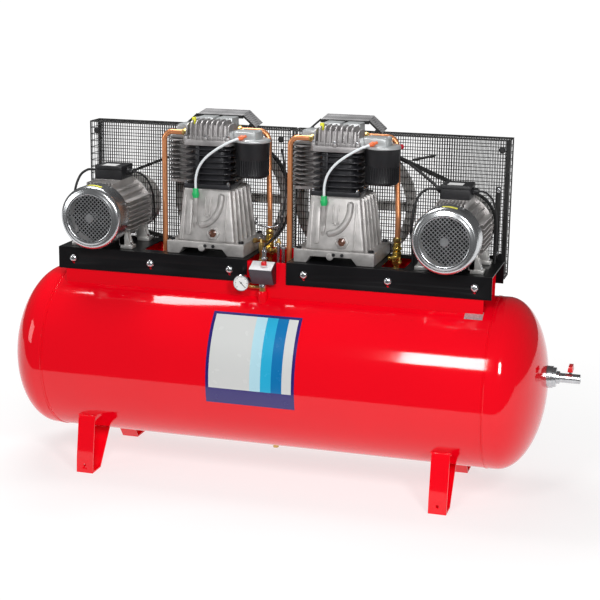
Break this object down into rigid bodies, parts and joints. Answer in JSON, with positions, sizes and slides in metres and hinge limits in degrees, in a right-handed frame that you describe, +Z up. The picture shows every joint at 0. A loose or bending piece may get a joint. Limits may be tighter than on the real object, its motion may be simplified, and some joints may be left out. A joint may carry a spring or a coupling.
{
  "type": "tandem air compressor",
  "caption": "Horizontal red air receiver on folded legs, carrying paired belt-driven piston pumps and electric motors with wire belt guards, a pressure switch and a gauge.",
  "frame": {"origin": "on the floor under the middle of the whole length, on the tank's centre line", "axes": "+X along the tank towards the outlet valve, +Y from the gauge side to the belt guards, +Z up"},
  "size_m": [2.0558, 0.6, 1.29],
  "materials": {
    "red_enamel": "glossy",
    "black_enamel": "satin",
    "black_iron": "matte",
    "grey_iron": "matte",
    "cast_aluminium": "satin",
    "silver_steel": "satin",
    "zinc_steel": "satin",
    "copper": "polished",
    "brass": "polished",
    "plated_brass": "satin",
    "black_plastic": "matte",
    "grey_plastic": "matte",
    "red_plastic": "glossy",
    "gauge_white": "glossy",
    "needle_black": "matte",
    "white_nylon": "glossy",
    "black_rubber": "matte",
    "hood_grey": "matte"
  },
  "bodies": {
    "frame": {"tank_shell": "red_enamel", "tank_end_left": "red_enamel", "tank_end_right": "red_enamel", "leg_front_left": "red_enamel", "leg_front_right": "red_enamel", "leg_rear_left": "red_enamel", "leg_rear_right": "red_enamel", "cradle": "red_enamel", "outlet_valve_body": "plated_brass", "drain_plug": "brass", "pressure_switch_body": "grey_plastic", "gauge_body": "gauge_white", "manifold": "brass", "safety_valve_body": "brass", "bed_plate_left": "black_enamel", "motor_frame_left": "cast_aluminium", "motor_fan_cover_left": "silver_steel", "terminal_box_left": "black_plastic", "crankcase_left": "cast_aluminium", "cylinder_front_left": "black_iron", "cylinder_rear_left": "grey_iron", "cylinder_head_left": "cast_aluminium", "air_hood_left": "hood_grey", "intake_filter_left": "black_plastic", "breather_tube_left": "white_nylon", "v_belt_left": "black_rubber", "belt_guard_left": "black_enamel", "delivery_pipe_left": "copper", "cooler_pipe_left": "copper", "check_valve_left": "brass", "motor_cable_left": "black_rubber", "bed_plate_right": "black_enamel", "motor_frame_right": "cast_aluminium", "motor_fan_cover_right": "silver_steel", "terminal_box_right": "black_plastic", "crankcase_right": "cast_aluminium", "cylinder_front_right": "black_iron", "cylinder_rear_right": "grey_iron", "cylinder_head_right": "cast_aluminium", "air_hood_right": "hood_grey", "intake_filter_right": "black_plastic", "breather_tube_right": "white_nylon", "v_belt_right": "black_rubber", "belt_guard_right": "black_enamel", "delivery_pipe_right": "copper", "cooler_pipe_right": "copper", "check_valve_right": "brass", "motor_cable_right": "black_rubber"},
    "crank_left": {"crankshaft_left": "zinc_steel", "flywheel_left": "black_iron"},
    "motor_left": {"motor_rotor_left": "zinc_steel", "motor_pulley_left": "grey_iron"},
    "crank_right": {"crankshaft_right": "zinc_steel", "flywheel_right": "black_iron"},
    "motor_right": {"motor_rotor_right": "zinc_steel", "motor_pulley_right": "grey_iron"},
    "outlet_handle": {"outlet_valve_handle": "red_plastic"},
    "gauge_hand": {"gauge_needle": "needle_black"},
    "switch_knob": {"pressure_switch_knob": "red_plastic"},
    "relief_ring": {"safety_valve_ring": "zinc_steel"}
  },
  "joints": [
    {"name": "crank_spin_left", "type": "hinge", "parent": "frame", "child": "crank_left", "pos_m": [-0.2891, 0, 0.975], "axis": [0, 1, 0], "continuous": true},
    {"name": "motor_spin_left", "type": "hinge", "parent": "frame", "child": "motor_left", "pos_m": [-0.6881, 0, 0.935], "axis": [0, 1, 0], "continuous": true},
    {"name": "crank_spin_right", "type": "hinge", "parent": "frame", "child": "crank_right", "pos_m": [0.1789, 0, 0.975], "axis": [0, 1, 0], "continuous": true},
    {"name": "motor_spin_right", "type": "hinge", "parent": "frame", "child": "motor_right", "pos_m": [0.5779, 0, 0.935], "axis": [0, 1, 0], "continuous": true},
    {"name": "outlet_handle_turn", "type": "hinge", "parent": "frame", "child": "outlet_handle", "pos_m": [0.9939, 0, 0.449], "axis": [0, 0, 1], "range_deg": [0, 90]},
    {"name": "gauge_needle_turn", "type": "hinge", "parent": "frame", "child": "gauge_hand", "pos_m": [-0.1336, -0.157, 0.737], "axis": [0, 1, 0], "range_deg": [-180, 90]},
    {"name": "switch_knob_pull", "type": "slide", "parent": "frame", "child": "switch_knob", "axis": [0, -0.4191, 0.908], "range_m": [0, 0.008]},
    {"name": "relief_ring_pull", "type": "slide", "parent": "frame", "child": "relief_ring", "axis": [0, 0, 1], "range_m": [0, 0.003]}
  ],
  "couplings": [
    {"joint": "motor_spin_left", "follows": "crank_spin_left", "ratio": 2.117},
    {"joint": "motor_spin_right", "follows": "crank_spin_right", "ratio": 2.117}
  ]
}
